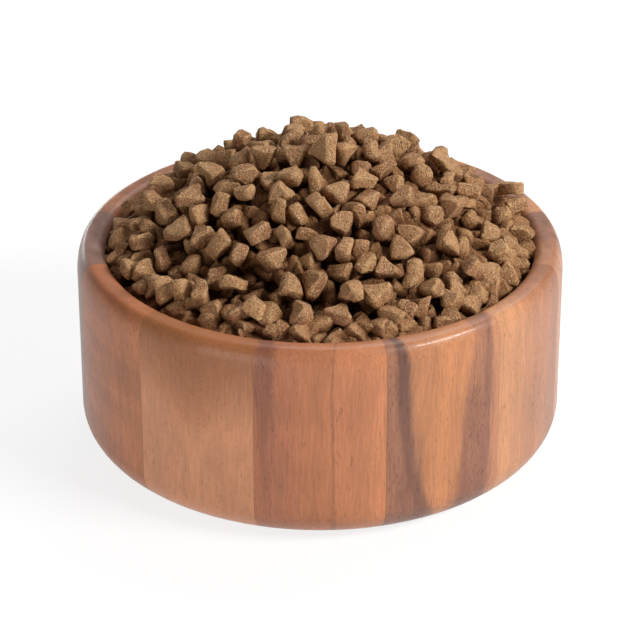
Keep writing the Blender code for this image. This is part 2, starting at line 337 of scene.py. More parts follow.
def kibble_blank():
    """The part's plain unit kibble: a short three-cornered extrusion with its corners taken off."""
    bm = bmesh.new()
    bmesh.ops.create_cone(
        bm, cap_ends=True, segments=3, radius1=1.0, radius2=KIBBLE_DRAFT, depth=1.0)
    uprights = [e for e in bm.edges if e.verts[0].co.z * e.verts[1].co.z < 0.0]
    bmesh.ops.bevel(bm, geom=uprights, offset=math.sqrt(3.0) * KIBBLE_CORNER, segments=1, affect="EDGES")
    wide = max(v.co.x for v in bm.verts) - min(v.co.x for v in bm.verts)
    bmesh.ops.scale(bm, vec=(1.0 / wide, 1.0 / wide, 1.0), verts=bm.verts)
    bm.normal_update()
    return bm, wide


def random_turns(rng, count):
    """Evenly spread random rotations as 3 by 3 matrices."""
    quaternions = rng.normal(size=(count, 4))
    quaternions /= np.linalg.norm(quaternions, axis=1)[:, None]
    w, x, y, z = quaternions.T
    rows = (
        1 - 2 * (y * y + z * z), 2 * (x * y - z * w), 2 * (x * z + y * w),
        2 * (x * y + z * w), 1 - 2 * (x * x + z * z), 2 * (y * z - x * w),
        2 * (x * z - y * w), 2 * (y * z + x * w), 1 - 2 * (x * x + y * y))
    return np.stack(rows, axis=1).reshape(count, 3, 3)


def random_shapes(rng, count):
    """Turned and stretched kibbles, as matrices that carry the unit kibble to each of them."""
    spread = rng.uniform(1.0 - KIBBLE_SPREAD, 1.0 + KIBBLE_SPREAD, size=(count, 3))
    sizes = spread * (KIBBLE_WIDTH, KIBBLE_WIDTH, KIBBLE_THICKNESS)
    skew = rng.uniform(0.0, 2.0 * math.pi, size=count)
    twist = np.zeros((count, 3, 3))
    twist[:, 0, 0] = twist[:, 1, 1] = np.cos(skew)
    twist[:, 1, 0] = np.sin(skew)
    twist[:, 0, 1] = -twist[:, 1, 0]
    twist[:, 2, 2] = 1.0
    return random_turns(rng, count) @ (sizes[:, :, None] * twist)


print("the heap is poured up to", round(1000 * float(dome(0.0))), "mm above the ground")

# %% [markdown]
# The heap's surface is kept as a map of heights on a fine grid. A trial kibble is lowered onto it
# as a set of planes: over each cell of the grid, the lowest of the planes that face up is its upper
# side, and the highest of those that face down is its lower side. It comes to rest where the two
# surfaces touch.

# %% Lower trial kibbles onto the heap
def square(row, column, reach):
    """The cells of the grid up to a reach away from one cell."""
    return slice(row - reach, row + reach + 1), slice(column - reach, column + reach + 1)


def settle(ground, row, column, shapes, planes):
    """Lower every trial kibble onto the ground at one place.

    Returns each one's height of rest, the space left under it and its upper surface.
    """
    reach = int(KIBBLE_WIDTH * (1.0 + KIBBLE_SPREAD) * TRIAL_REACH / GRID)
    steps = np.arange(-reach, reach + 1)
    east, north = np.meshgrid(steps * GRID, steps * GRID, indexing="ij")
    normals = planes[:, :3] @ np.linalg.inv(shapes)
    slopes = normals[:, :, 2]
    slopes = np.where(np.abs(slopes) < 1.0, np.where(slopes < 0.0, -1.0, 1.0), slopes)
    heights = (planes[None, :, 3, None, None] - normals[:, :, 0, None, None] * east
               - normals[:, :, 1, None, None] * north) / slopes[:, :, None, None]
    faces_up = (slopes > 0.0)[:, :, None, None]
    upper = np.where(faces_up, heights, np.inf).min(axis=1)
    lower = np.where(faces_up, -np.inf, heights).max(axis=1)
    covered = upper > lower
    below = ground[square(row, column, reach)]
    rest = np.where(covered, below - lower, -np.inf).max(axis=(1, 2))
    space = np.where(covered, rest[:, None, None] + lower - below, np.inf)
    upper = np.where(covered, upper + rest[:, None, None], -np.inf)
    return rest, space, upper


blank, blank_width = kibble_blank()
blank_planes = np.array([(*f.normal, f.normal.dot(f.verts[0].co)) for f in blank.faces])
print("unit kibble:", len(blank_planes), "faces")

# %% [markdown]
# Each kibble goes roughly to the deepest hollow. Of ten trials, the one that leaves the least space
# under it stays. A kibble doesn't come to rest on the rim's wood, and hardly stands out of the
# dome. Those that show and have nothing lying on them are free.

# %% Pour the heap
def stands_out(place):
    """Whether one of a kibble's corners stands out of the heap's dome."""
    corners = [place @ v.co for v in blank.verts]
    return any(c.z > float(dome(c.xy.length)) + SHOWS_ABOVE for c in corners)


def pour(planes):
    """Fill the bowl one by one. Returns the kibbles' places, which lie free, and the height map."""
    rng = np.random.default_rng(SEED)
    cells = int((BOWL_RADIUS + KIBBLE_WIDTH) / GRID) + STRAY_CELLS
    axis = np.arange(-cells, cells + 1) * GRID
    radius = np.hypot(*np.meshgrid(axis, axis, indexing="ij"))
    margin = GAP + KIBBLE_SINK + GRID
    lip = np.clip(INNER_RADIUS + RIM_INNER[0] - (radius + margin), 0.0, RIM_INNER[0])
    rim = BOWL_HEIGHT + margin - RIM_INNER[0] + np.sqrt(RIM_INNER[0] ** 2 - lip ** 2)
    goal = dome(radius)
    ground = np.where(radius < INNER_RADIUS - margin, goal - 2.0 * KIBBLE_THICKNESS, rim)
    inside = radius < INNER_RADIUS - KIBBLE_THICKNESS / 2.0
    refused = np.where(inside, 0.0, np.inf)
    chance = rng.uniform(0.0, KIBBLE_THICKNESS / 2.0, ground.shape)
    top_kibble = np.where(ground == rim, ON_RIM, ON_CORE)
    placed = []
    covered = set()
    while True:
        hollow = goal - ground - refused
        if hollow.max() < HOLLOW:
            break
        wanted = np.where(hollow < HOLLOW, -1.0, hollow + chance)
        row, column = np.unravel_index(wanted.argmax(), wanted.shape)
        row += rng.integers(-STRAY_CELLS, STRAY_CELLS + 1)
        column += rng.integers(-STRAY_CELLS, STRAY_CELLS + 1)
        shapes = random_shapes(rng, TRIALS)
        rest, space, upper = settle(ground, row, column, shapes, planes)
        near = square(row, column, upper.shape[1] // 2)
        touched = space.reshape(TRIALS, -1).argmin(axis=1)
        carrier = top_kibble[near].ravel()[touched]
        proud = upper.max(axis=(1, 2)) - goal[row, column]
        under = np.isfinite(space)
        wasted = np.where(under, space, 0.0).sum(axis=(1, 2)) / under.sum(axis=(1, 2))
        unfit = (carrier == ON_RIM) | (proud > PROUD)
        best = int(np.where(unfit, np.inf, wasted + np.maximum(0.0, proud - PROUD / 3.0)).argmin())
        if unfit[best]:
            refused[square(row, column, REFUSED_CELLS)] += HOLLOW / 3.0
            continue
        footprint = upper[best] > 0.0
        covered |= set(top_kibble[near][footprint])
        top_kibble[near][footprint] = len(placed)
        ground[near] = np.maximum(ground[near], upper[best] - KIBBLE_SINK)
        centre = Matrix.Translation((axis[row], axis[column], rest[best] - KIBBLE_SINK))
        placed.append(centre @ Matrix(shapes[best].tolist()).to_4x4())
    free = [index for index, place in enumerate(placed) if index not in covered and stands_out(place)]
    return placed, free, (axis, radius, goal, ground)


poured, free_kibbles, height_map = pour(blank_planes)
print("poured", len(poured), "kibbles, of which", len(free_kibbles), "lie free")

# %% [markdown]
# ## Where the loose kibbles lie
#
# The part lifts 46 of the free kibbles off and sets them down again, each in its own node. A loose
# kibble's place is read back from its node: its twelve corners are matched with those of the plain
# unit kibble, and the best fit of the one to the other is its place.

# %% Read the loose kibbles' places
def corners_in_order(bm):
    """A plain kibble's twelve corners: round its larger face from a long side, each with its partner."""
    ends = sorted((face for face in bm.faces if len(face.verts) == 6), key=lambda face: face.calc_area())
    loops = list(ends[-1].loops)
    lengths = [loop.edge.calc_length() for loop in loops]
    if sum(lengths[0::2]) < sum(lengths[1::2]):
        loops = loops[1:] + loops[:1]
    corners = [loop.vert for loop in loops]
    partners = []
    for corner in corners:
        upright = next(edge for edge in corner.link_edges if edge.other_vert(corner) not in corners)
        partners.append(upright.other_vert(corner))
    return np.array([vertex.co for vertex in corners + partners])


def place_of(node):
    """The matrix that carries the unit kibble to a loose kibble of the part, and how well it fits."""
    bm = bmesh.new()
    bm.from_mesh(node.data)
    bmesh.ops.remove_doubles(bm, verts=bm.verts, dist=SAME)
    bmesh.ops.dissolve_limit(bm, angle_limit=FLAT, verts=bm.verts, edges=bm.edges)
    corners = corners_in_order(bm)
    bm.free()
    unit = np.c_[unit_corners, np.ones(len(unit_corners))]
    fit = np.linalg.lstsq(unit, corners, rcond=None)[0]
    miss = np.abs(unit @ fit - corners).max()
    matrix = Matrix.Identity(4)
    for row in range(3):
        for column in range(4):
            matrix[row][column] = fit[column][row]
    return matrix, miss


unit_corners = corners_in_order(blank)
loose_nodes = sorted(name for name in nodes if name.startswith("kibble_") and name != "kibble_heap")
loose_places = []
worst_miss = 0.0
for name in loose_nodes:
    matrix, miss = place_of(nodes[name])
    loose_places.append(matrix)
    worst_miss = max(worst_miss, miss)
fused_places = [place for index, place in enumerate(poured) if index not in free_kibbles[-len(loose_nodes):]]
print("loose kibbles:", len(loose_places), "fitted to within", round(1000 * worst_miss, 4), "mm")

# %% [markdown]
# ## One kibble
#
# A kibble is pressed through a three-cornered die and cut off, and it puffs up as it dries. So it
# is a short three-cornered pillow: its corners and edges are round, its sides bulge a little, and
# its cut faces are slightly domed. It starts as a three-sided cone trunk of the real size.
#
# It repeats hundreds of times, so it has only a few dozen faces. The rest of its roundness comes
# from smooth shading, and its grain from the material.
#
# The material needs to know which faces were cut, because those are paler and more open than the
# skin. That is kept as a number at each point of the mesh, so it blends over the rounded edge.

# %% Model one kibble
CORNER_STEPS = 2
LONG_SIDE = 0.28 * KIBBLE_WIDTH
CUT_INSET = 0.0014
KIBBLE_SMOOTH_BELOW = math.radians(60.0)


def mark_cut_faces(item, start):
    """Give each point of a kibble a number: 0 on its skin, 1 on its cut faces."""
    height = np.array([abs(v.co.z) for v in item.data.vertices])
    cut = np.clip((height - start) / (height.max() - start), 0.0, 1.0)
    attribute = item.data.attributes.new("cut", "FLOAT", "POINT")
    attribute.data.foreach_set("value", cut.astype(np.float32))


def model_kibble(corner, edge_round, cut_dome, fullness):
    """A kibble from a cone trunk. corner is how far its corners are cut back, compared with the part's."""
    trunk_radius = fullness * KIBBLE_WIDTH / blank_width
    thickness = KIBBLE_THICKNESS - 2.0 * max(cut_dome, 0.0)
    deselect_all()
    bpy.ops.mesh.primitive_cone_add(
        vertices=3, radius1=trunk_radius, radius2=trunk_radius * KIBBLE_DRAFT, depth=thickness,
        location=(0.0, 0.0, 0.0))
    item = bpy.context.object
    start_editing(item)
    select_edges(item, lambda a, b: a.z * b.z < 0.0)
    bpy.ops.mesh.bevel(
        offset=math.sqrt(3.0) * KIBBLE_CORNER * trunk_radius * corner, segments=CORNER_STEPS, affect="EDGES")
    select_edges(item, lambda a, b: a.z * b.z > 0.0 and (a - b).length > LONG_SIDE)
    bpy.ops.mesh.subdivide(number_cuts=1)
    select_faces(item, lambda normal: abs(normal.z) > LEVEL)
    bpy.ops.mesh.inset(thickness=CUT_INSET, depth=cut_dome, use_individual=True)
    half = thickness / 2.0
    select_edges(item, lambda a, b: a.z * b.z > 0.0 and abs(abs(a.z) - half) < SAME
                 and abs(abs(b.z) - half) < SAME and abs(a.z - b.z) < SAME)
    bpy.ops.mesh.bevel(offset=edge_round, segments=1, affect="EDGES")
    stop_editing()
    mark_cut_faces(item, half - edge_round)
    bpy.ops.object.shade_smooth_by_angle(angle=KIBBLE_SMOOTH_BELOW)
    return item

# %% [markdown]
# The die wears and the dough breaks, so there are four kinds: a plain one, a nearly round one, one
# with sharp edges, and one whose cut faces are hollow.

# %% Model the four kinds
kinds = [
    model_kibble(corner=1.20, edge_round=0.0012, cut_dome=0.0004, fullness=1.01),
    model_kibble(corner=1.90, edge_round=0.0013, cut_dome=0.0004, fullness=1.10),
    model_kibble(corner=1.00, edge_round=0.0009, cut_dome=0.0003, fullness=0.99),
    model_kibble(corner=1.40, edge_round=0.0011, cut_dome=-0.0006, fullness=1.04),
]
for kind in kinds:
    print("kibble:", len(kind.data.polygons), "faces, open edges:", open_edges(kind))

# %% [markdown]
# ## The heap
#
# Each kibble is a copy of one of the four kinds, stretched and turned to its place. The hollows
# between them would show the bowl's inside, so they are filled with more kibbles that lie deeper.
# A real heap has them too, and it doesn't matter there that they run into each other.
#
# Each of these goes into the deepest hollow that is left, in the one of twenty turns that lets it
# sink the furthest, and lies hardly higher than its hollow's bottom. Near the wall the hollows are
# filled sooner and a little higher, because real kibbles crowd against the wood there.

# %% Find the kibbles that fill the hollows
FILLED_BELOW = 0.0064
EDGE_FILLED_BELOW = 0.0016
EDGE_ZONE = 0.0110
EDGE_CLEAR = 0.0028
FILL_LIFT = 0.0022
EDGE_LIFT = 0.0032
FILL_SIZE = 0.92
FILL_SEED = 7


def fill_hollows(height_map):
    """Places of kibbles in what is still hollow, the deepest first, each in its best turn of several."""
    axis, radius, goal, ground = height_map
    rng = np.random.default_rng(FILL_SEED)
    inside = radius < INNER_RADIUS - EDGE_CLEAR
    by_wall = radius > INNER_RADIUS - EDGE_ZONE
    edge_help = np.where(by_wall, FILLED_BELOW - EDGE_FILLED_BELOW, 0.0)
    lift = np.where(by_wall, EDGE_LIFT, FILL_LIFT)
    places = []
    while True:
        hollow = np.where(inside, goal - ground + edge_help, 0.0)
        row, column = np.unravel_index(hollow.argmax(), hollow.shape)
        if hollow[row, column] < FILLED_BELOW:
            return places
        shapes = FILL_SIZE * random_shapes(rng, 2 * TRIALS)
        rest, _, upper = settle(ground, row, column, shapes, blank_planes)
        best = int(rest.argmin())
        height = min(rest[best], ground[row, column] + lift[row, column])
        near = square(row, column, upper.shape[1] // 2)
        ground[near] = np.maximum(ground[near], upper[best] + height - rest[best])
        centre = Matrix.Translation((axis[row], axis[column], height))
        places.append(centre @ Matrix(shapes[best].tolist()).to_4x4())


fill_places = fill_hollows(height_map)
print("kibbles in the hollows:", len(fill_places))

# %% [markdown]
# Copies that belong together are joined into one piece. A soft cloud texture then pushes the whole
# piece about by up to a millimetre or so, which bends and dents each kibble in its own way. Weighted
# normals keep its larger faces flat in the light, and round only what lies between them.

# %% Make the kibbles
LUMP_SIZE = 0.0062
LUMP_PUSH = 0.0028
FACE_WEIGHT = 60

lumps = bpy.data.textures.new("kibble_lumps", "CLOUDS")
lumps.noise_scale = LUMP_SIZE
lumps.noise_depth = 0
lumps.cloud_type = "COLOR"
unit_size = Matrix.Diagonal((1.0 / KIBBLE_WIDTH, 1.0 / KIBBLE_WIDTH, 1.0 / KIBBLE_THICKNESS, 1.0))


def make_kibbles(name, places):
    """One piece of all the kibbles at these places."""
    copies = []
    for count, place in enumerate(places):
        kibble = kinds[count % len(kinds)]
        copy = kibble.copy()
        copy.data = kibble.data.copy()
        copy.data.transform(place @ unit_size)
        bpy.context.scene.collection.objects.link(copy)
        copies.append(copy)
    deselect_all()
    for copy in copies:
        copy.select_set(True)
    bpy.context.view_layer.objects.active = copies[0]
    bpy.ops.object.join()
    piece = bpy.context.object
    piece.name = piece.data.name = name
    push = piece.modifiers.new("lumps", "DISPLACE")
    push.texture = lumps
    push.texture_coords = "LOCAL"
    push.direction = "RGB_TO_XYZ"
    push.mid_level = 0.5
    push.strength = LUMP_PUSH
    bpy.ops.object.modifier_apply(modifier=push.name)
    flatten = piece.modifiers.new("flat_faces", "WEIGHTED_NORMAL")
    flatten.weight = FACE_WEIGHT
    flatten.keep_sharp = False
    bpy.ops.object.modifier_apply(modifier=flatten.name)
    return piece


heap = make_kibbles("kibble_pile", fused_places + fill_places)
loose = make_kibbles("kibbles_on_top", loose_places)
for kind in kinds:
    bpy.data.objects.remove(kind)
print("pile:", len(heap.data.polygons), "faces; on top:", len(loose.data.polygons), "faces")

# %% [markdown]
# ## Inside the heap
#
# Under the kibbles the bowl is full. A plain turned solid stands for what never shows. It is a
# cylinder that fits the bowl, with rings inset in its top and raised to the heap's dome. It takes
# the kibble's material, and the painted shade of the depth below makes it dark.

# %% Model the inside of the heap
CORE_DEPTH = 0.0125
CORE_SIDES = 48
CORE_RINGS = 5
CORE_FOOT_STEPS = 5

deselect_all()
core_radius = INNER_RADIUS - GAP
core_low = FLOOR + GAP
core_edge = float(dome(core_radius)) - CORE_DEPTH
bpy.ops.mesh.primitive_cylinder_add(
    vertices=CORE_SIDES, radius=core_radius, depth=core_edge - core_low,
    location=(0.0, 0.0, (core_edge + core_low) / 2.0))
core = bpy.context.object
core.name = core.data.name = "heap_inside"
apply_place(core)
start_editing(core)
select_edges(core, lambda a, b: max(a.z, b.z) < core_low + SAME)
bpy.ops.mesh.bevel(offset=INSIDE_FILLET[0], segments=CORE_FOOT_STEPS, affect="EDGES")
select_faces(core, lambda normal: normal.z > LEVEL)
ring = core_radius / CORE_RINGS
radius = core_radius
for _ in range(CORE_RINGS - 1):
    bpy.ops.mesh.inset(thickness=ring)
    rise = float(dome(radius - ring) - dome(radius))
    bpy.ops.transform.translate(value=(0.0, 0.0, rise))
    radius -= ring
stop_editing()
print("inside of the heap:", len(core.data.polygons), "faces, open edges:", open_edges(core))

# %% [markdown]
# ## How deep each point lies, for painted shade
#
# Little light gets between the kibbles, and that shade is painted into their colour. So each point
# keeps how deep it lies, and the material darkens with it. The depth has two parts: the one below
# the heap's dome, and the one below the kibbles right around, which draws a line of painted shade
# between neighbours.

# %% Mark the depth for the painted shade
# Each depth darkens from its first value on, fully at its second, and has its own share.
DOME_DEPTHS = (-0.0020, 0.0070)
NEAR_DEPTHS = (-0.0005, 0.0045)
DEPTH_SHARES = (0.55, 0.50)
DEPTH_CELL = 0.0025
DEPTH_REACH = 3


def points_of(item):
    """The places of a piece's points, as three rows of numbers."""
    place = np.empty(3 * len(item.data.vertices))
    item.data.vertices.foreach_get("co", place)
    return place.reshape(-1, 3).T


def cell_of(x, y):
    """The row and column of the map's cell at a place."""
    middle = int(BOWL_RADIUS / DEPTH_CELL) + DEPTH_REACH
    return np.rint(x / DEPTH_CELL).astype(int) + middle, np.rint(y / DEPTH_CELL).astype(int) + middle


def heights_around(pieces):
    """A map of how high the heap's surface lies on average around each cell."""
    side = 2 * (int(BOWL_RADIUS / DEPTH_CELL) + DEPTH_REACH) + 1
    tops = np.zeros((side, side))
    for item in pieces:
        x, y, z = points_of(item)
        np.maximum.at(tops, cell_of(x, y), z)
    steps = range(-DEPTH_REACH, DEPTH_REACH + 1)
    total = sum(np.roll(tops, (down, right), (0, 1)) for down in steps for right in steps)
    count = sum(np.roll(tops > 0.0, (down, right), (0, 1)).astype(int) for down in steps for right in steps)
    return total / np.maximum(count, 1)


def mark_depth_for_painted_shade(item, around):
    """Give each point of a piece a number for painted shade: 0 where it lies open, 1 deep between the
    kibbles.
    """
    x, y, z = points_of(item)
    below_dome = dome(np.hypot(x, y)) - z
    below_near = around[cell_of(x, y)] - z
    deep = np.zeros(len(z))
    for below, (start, end), share in zip((below_dome, below_near), (DOME_DEPTHS, NEAR_DEPTHS), DEPTH_SHARES):
        deep += share * np.clip((below - start) / (end - start), 0.0, 1.0)
    attribute = item.data.attributes.new("deep", "FLOAT", "POINT")
    attribute.data.foreach_set("value", np.minimum(deep, 1.0).astype(np.float32))


# The pile, the loose kibbles and the inside of the heap all take this painted shade.
around = heights_around((heap, loose))
for item in (heap, loose, core):
    mark_depth_for_painted_shade(item, around)
print("depth marked on", heap.name, loose.name, core.name)

# %% [markdown]
# ## Helpers for materials
#
# A material is a tree of nodes. These helpers add one node in one line: an input takes either a
# value or the output of an earlier node.

# %% Node helpers
def new_material(name):
    material = bpy.data.materials.new(name)
    material.use_nodes = True
    return material, material.node_tree, material.node_tree.nodes["Principled BSDF"]


def set_input(tree, socket, value):
    if isinstance(value, bpy.types.NodeSocket):
        tree.links.new(value, socket)
    else:
        socket.default_value = value


def add_node(tree, kind, inputs, **settings):
    node = tree.nodes.new(kind)
    for key, value in settings.items():
        setattr(node, key, value)
    for key, value in inputs.items():
        set_input(tree, node.inputs[key], value)
    return node


def calculate(tree, operation, *values):
    node = tree.nodes.new("ShaderNodeMath")
    node.operation = operation
    for socket, value in zip(node.inputs, values):
        set_input(tree, socket, value)
    return node.outputs[0]


def fade(tree, value, start, end, low=0.0, high=1.0):
    """Carry a value from the range start to end over to the range low to high, smoothly."""
    node = add_node(
        tree, "ShaderNodeMapRange", {"Value": value, "From Min": start, "From Max": end, "To Min": low,
                                     "To Max": high}, interpolation_type="SMOOTHSTEP")
    return node.outputs["Result"]


def blend(tree, share, first, second, mode="MIX"):
    """Mix two colours. Of a Mix node, inputs 6 and 7 are the colours, and output 2 is their mix."""
    node = tree.nodes.new("ShaderNodeMix")
    node.data_type = "RGBA"
    node.blend_type = mode
    set_input(tree, node.inputs[0], share)
    set_input(tree, node.inputs[6], first)
    set_input(tree, node.inputs[7], second)
    return node.outputs[2]


def noise(tree, place, scale, detail=2.0, roughness=0.5):
    node = add_node(tree, "ShaderNodeTexNoise", {
        "Vector": place, "Scale": scale, "Detail": detail, "Roughness": roughness})
    return node.outputs[0]


def mapped(tree, place, location=(0.0, 0.0, 0.0), rotation=(0.0, 0.0, 0.0), scale=(1.0, 1.0, 1.0)):
    node = add_node(tree, "ShaderNodeMapping", {
        "Vector": place, "Location": location, "Rotation": rotation, "Scale": scale})
    return node.outputs[0]


def object_place(tree):
    return tree.nodes.new("ShaderNodeTexCoord").outputs["Object"]


def from_screen(red, green, blue):
    """A colour as a screen shows it, 0 to 255, turned into the linear one that shaders take."""
    linear = []
    for level in (red, green, blue):
        share = level / 255.0
        linear.append(share / 12.92 if share <= 0.04045 else ((share + 0.055) / 1.055) ** 2.4)
    return (*linear, 1.0)

# %% [markdown]
# ## Wood
#
# Acacia has a lively grain. On each stave the growth rings run up the wall as soft bands, short dark
# pores lie along the grain, and fine fibres run between them. Each stave comes from another board,
# so each has its own three tones, its own ring centre, and here and there a dark streak of
# heartwood. One board was cut where the grain spreads like a V, and one has level waves, which
# comes from curly wood.
#
# The pattern is worked out in space, in millimetres, and not painted on the surface. So the bands
# run on over the rim, where the pores are cut across and show as dots. Most of it is noise that is
# drawn out along the stave, and this table keeps how fine each noise is.

# %% The patterns in the wood
MM = 1000.0
# Each pattern's fineness across, inwards and up the stave, in spots per millimetre, then its detail
# and its roughness.
PATTERNS = {
    "wander": ((0.045, 0.045, 0.016), 2.0, 0.5),
    "uneven rings": ((0.16, 0.16, 0.02), 2.0, 0.5),
    "bands": ((0.13, 0.13, 0.010), 3.0, 0.6),
    "mottle": ((0.06, 0.06, 0.035), 2.0, 0.5),
    "long fibres": ((1.1, 1.1, 0.06), 4.0, 0.75),
    "short fibres": ((1.1, 1.1, 0.22), 4.0, 0.75),
    "flecks": ((0.9, 0.9, 0.10), 3.0, 0.65),
    "level waves": ((0.02, 0.02, 0.085), 2.0, 0.5),
    "pores": ((2.1, 2.1, 0.34), 1.0, 0.5),
    "crowds of pores": ((0.10, 0.10, 0.03), 1.0, 0.5),
}


def pattern(tree, place, name, tilt=0.0):
    """One of the patterns, as a number from 0 to 1."""
    fineness, detail, roughness = PATTERNS[name]
    spot = mapped(tree, place, rotation=(0.0, tilt, 0.0), scale=fineness)
    return noise(tree, spot, 1.0, detail, roughness)


print("wood patterns:", len(PATTERNS))

# %% [markdown]
# Grain never runs quite straight, so a slow noise pushes it sideways on its way up, by a share of
# WANDER. On the board with the V it also spreads to both sides, from a third of the wall's height
# upwards. Each board is cut from another place in the pattern, BOARD_STEP further on.

# %% Lay the grain of a stave
BOARD_STEP = (137.0, 61.0, 211.0)
WANDER = 14.0
VEE_START = 34.0
VEE_BLUNT = 40.0
VEE_SLANT = 0.5


def across(tree, place):
    """The three parts of a place as numbers."""
    node = add_node(tree, "ShaderNodeSeparateXYZ", {"Vector": place})
    return node.outputs


def lay_grain(tree, index, vee):
    """The place on the board and in its grain, the plain x, y and z, and how far the grain wanders."""
    local = mapped(
        tree, object_place(tree), rotation=(0.0, 0.0, -index * STAVE_ANGLE), scale=(MM, MM, MM))
    x, y, z = across(tree, local)
    board_offset = tuple(step * index for step in BOARD_STEP)
    board = mapped(tree, local, location=board_offset)
    wander = calculate(tree, "SUBTRACT", pattern(tree, board, "wander"), 0.5)
    bent_x = calculate(tree, "MULTIPLY_ADD", wander, WANDER, x)
    grain_x = bent_x
    grain_z = z
    if vee:
        spread = calculate(tree, "SQRT", calculate(tree, "MULTIPLY_ADD", x, x, VEE_BLUNT))
        climb = calculate(tree, "MAXIMUM", calculate(tree, "SUBTRACT", z, VEE_START), 0.0)
        grain_x = calculate(tree, "MULTIPLY_ADD", climb, -vee, calculate(
            tree, "MULTIPLY_ADD", wander, WANDER, spread))
        grain_z = calculate(tree, "MULTIPLY_ADD", x, VEE_SLANT, z)
    bent = add_node(tree, "ShaderNodeCombineXYZ", {"X": grain_x, "Y": y, "Z": grain_z}).outputs[0]
    grain = mapped(tree, bent, location=board_offset)
    return board, grain, (x, y, z), bent_x, wander

# %% [markdown]
# A growth ring goes slowly from pale early wood to dark late wood, and then starts anew. So the
# distance from the ring centre is divided by a ring's width, and what is left over a whole number
# says how far a point lies through its ring.

# %% Growth rings
RING_UNEVEN = 0.9
LATE_WOOD_GROWS = (0.1, 0.8)
LATE_WOOD_ENDS = (1.0, 0.86)


def growth_rings(tree, grain, place, rings, arch):
    """How uneven the rings are, how far a point lies through its ring, and how much is late wood."""
    across_rings, y, z = place
    off_x = calculate(tree, "SUBTRACT", across_rings, rings[0])
    off_y = calculate(tree, "SUBTRACT", calculate(tree, "MULTIPLY_ADD", z, -arch, y), rings[1])
    distance = calculate(tree, "SQRT", calculate(
        tree, "ADD", calculate(tree, "MULTIPLY", off_x, off_x), calculate(tree, "MULTIPLY", off_y, off_y)))
    uneven = pattern(tree, grain, "uneven rings")
    within = calculate(tree, "FRACT", calculate(
        tree, "MULTIPLY_ADD", uneven, RING_UNEVEN, calculate(tree, "DIVIDE", distance, rings[2])))
    late_wood = calculate(
        tree, "MULTIPLY", fade(tree, within, *LATE_WOOD_GROWS), fade(tree, within, *LATE_WOOD_ENDS))
    return uneven, within, late_wood

# %% [markdown]
# Each pattern makes the wood a little lighter or darker. Their shades are multiplied, because that
# keeps the tone of the board. A noise hardly ever reaches 0 or 1, so each fades over its middle range.

# %% Shades of the grain
MIDDLE = (0.3, 0.7)
BAND_MIDDLE = (0.32, 0.68)
WAVE_MIDDLE = (0.38, 0.62)
MOTTLE_SHARE = 0.07
FLECK_SHARE = 0.07
WAVE_TILT = 0.12


def grain_shade(tree, board, grain, late_wood, mottle, fibres, fibre_share, contrast, bands, curl):
    """How much lighter or darker the grain makes the wood, about 1 on average."""
    band = pattern(tree, grain, "bands")
    flecks = pattern(tree, board, "flecks")
    waves = pattern(tree, board, "level waves", tilt=WAVE_TILT)
    shade = fade(tree, band, *BAND_MIDDLE, 1.0 + 0.25 * bands, 1.0 - 0.6 * bands)
    shade = calculate(tree, "MULTIPLY", shade, calculate(
        tree, "MULTIPLY_ADD", late_wood, -contrast, 1.0 + 0.4 * contrast))
    for value, reach, share in (
            (mottle, MIDDLE, MOTTLE_SHARE), (waves, WAVE_MIDDLE, curl),
            (fibres, MIDDLE, fibre_share), (flecks, MIDDLE, FLECK_SHARE)):
        shade = calculate(tree, "MULTIPLY", shade, fade(tree, value, *reach, 1.0 - share, 1.0 + share))
    return shade

# %% [markdown]
# A streak of heartwood runs up the stave as a line that bends once. Its edge is ragged, because the
# dark wood follows the rings and the fibres. Below the rim of one board the wood is also darkened
# without an edge, which is painted shade under the rim.

# %% Streaks and painted shade below the rim
STREAK_WANDER = 6.0
STREAK_BY_RINGS = 1.7
STREAK_BY_FIBRES = 0.9
# The tone of the painted shade below the rim.
PAINTED_RIM_SHADE = (0.58, 0.49, 0.37, 1.0)
PAINTED_RIM_SHADE_HEIGHTS = (0.56, 0.98)
PAINTED_RIM_SHADE_BY_MOTTLE = 0.3
PAINTED_RIM_SHADE_LOSS_ASIDE = -0.006


def through(tree, height, rim, middle, foot):
    """A value that runs through three given ones at the foot, half way up and at the rim."""
    bend = 2.0 * (rim + foot - 2.0 * middle)
    slope = 4.0 * middle - rim - 3.0 * foot
    return calculate(
        tree, "MULTIPLY_ADD", calculate(tree, "MULTIPLY_ADD", height, bend, slope), height, foot)


# Darkens the wood below the rim without an edge: painted shade.
def add_painted_rim_shade(tree, colour, x, height, mottle, painted_rim_shade):
    reach = calculate(tree, "MULTIPLY_ADD", calculate(tree, "ABSOLUTE", x), PAINTED_RIM_SHADE_LOSS_ASIDE, calculate(
        tree, "MULTIPLY_ADD", mottle, PAINTED_RIM_SHADE_BY_MOTTLE, height))
    return blend(tree, fade(tree, reach, *PAINTED_RIM_SHADE_HEIGHTS, 0.0, painted_rim_shade), colour, PAINTED_RIM_SHADE, "MULTIPLY")


